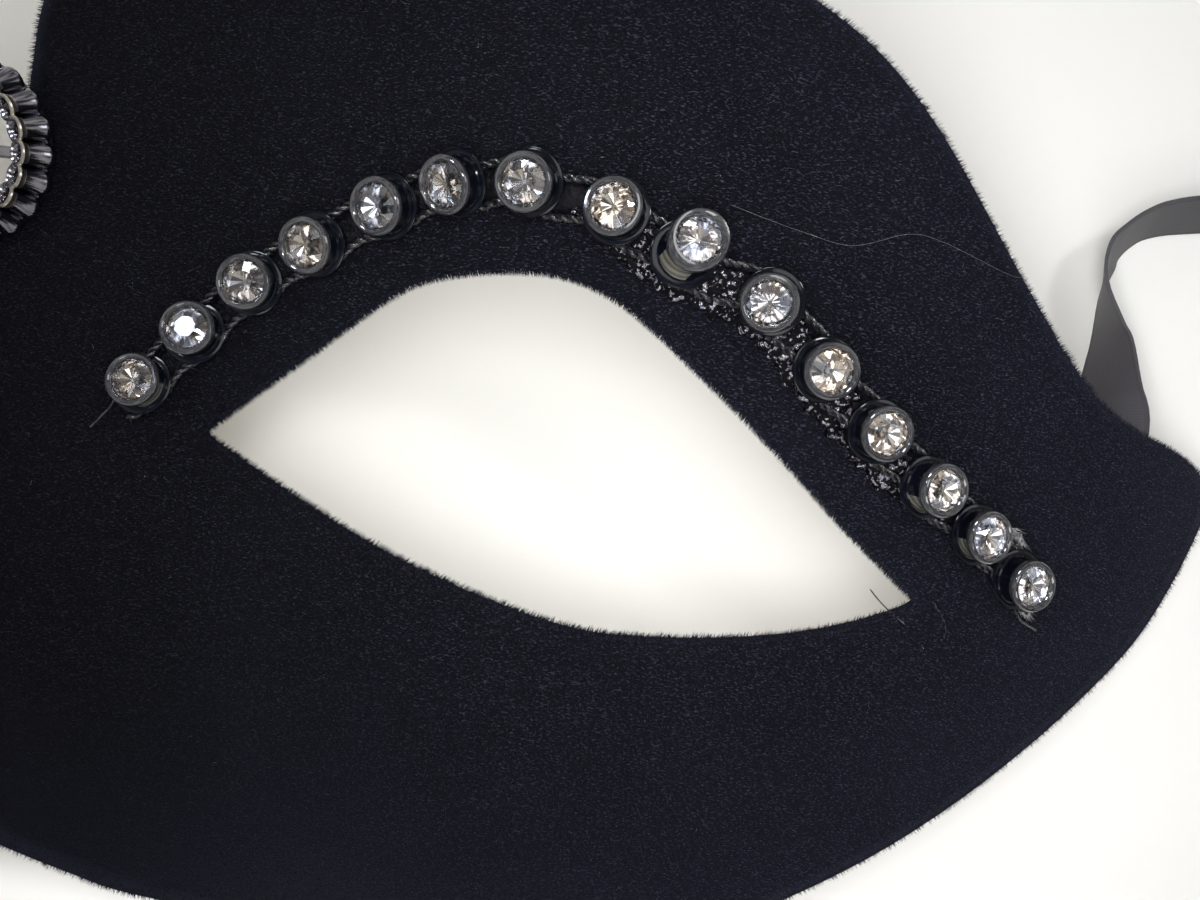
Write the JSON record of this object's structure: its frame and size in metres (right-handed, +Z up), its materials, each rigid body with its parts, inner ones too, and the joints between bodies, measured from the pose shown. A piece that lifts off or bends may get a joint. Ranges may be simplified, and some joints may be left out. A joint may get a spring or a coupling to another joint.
{
  "type": "masquerade eye mask",
  "caption": "Moulded black velvet eye mask with rhinestones sewn over each eye, a jewelled brooch at the notch of the brow and ribbon ties.",
  "frame": {"origin": "under the middle of the mask without its ribbons, on the surface that the mask lies on", "axes": "+Z up out of the face of the mask, +Y towards the brow, +X towards the wearer's left temple"},
  "size_m": [0.341, 0.0774, 0.0323],
  "materials": {
    "velvet": "black flocked velvet",
    "black_plastic": "glossy black, with thread",
    "crystal": "clear cut stone with a foiled back",
    "gunmetal": "dark polished plating",
    "satin": "soft satin ribbon"
  },
  "bodies": {
    "root": {"mask_shell": "velvet", "rhinestone_trim_left": "black_plastic", "rhinestone_trim_right": "black_plastic", "stone_left_01": "crystal", "stone_left_02": "crystal", "stone_left_03": "crystal", "stone_left_04": "crystal", "stone_left_05": "crystal", "stone_left_06": "crystal", "stone_left_07": "crystal", "stone_left_08": "crystal", "stone_left_09": "crystal", "stone_left_10": "crystal", "stone_left_11": "crystal", "stone_left_12": "crystal", "stone_left_13": "crystal", "stone_left_14": "crystal", "stone_left_15": "crystal", "stone_right_01": "crystal", "stone_right_02": "crystal", "stone_right_03": "crystal", "stone_right_04": "crystal", "stone_right_05": "crystal", "stone_right_06": "crystal", "stone_right_07": "crystal", "stone_right_08": "crystal", "stone_right_09": "crystal", "stone_right_10": "crystal", "stone_right_11": "crystal", "stone_right_12": "crystal", "stone_right_13": "crystal", "stone_right_14": "crystal", "stone_right_15": "crystal", "brooch_crystal_01": "crystal", "brooch_crystal_02": "crystal", "brooch_crystal_03": "crystal", "brooch_crystal_04": "crystal", "brooch_crystal_05": "crystal", "brooch_crystal_06": "crystal", "brooch_crystal_07": "crystal", "brooch_crystal_08": "crystal", "brooch_crystal_09": "crystal", "brooch_crystal_10": "crystal", "brooch_crystal_11": "crystal", "brooch_crystal_12": "crystal", "brooch_crystal_13": "crystal", "brooch_crystal_14": "crystal", "brooch_crystal_15": "crystal", "brooch_crystal_16": "crystal", "brooch_crystal_17": "crystal", "brooch_crystal_18": "crystal", "brooch_crystal_19": "crystal", "brooch_crystal_20": "crystal", "brooch_crystal_centre": "crystal", "brooch_frame": "gunmetal", "ribbon_left": "satin", "ribbon_right": "satin", "ribbon_coil_left": "satin", "ribbon_coil_right": "satin"}
  },
  "joints": []
}
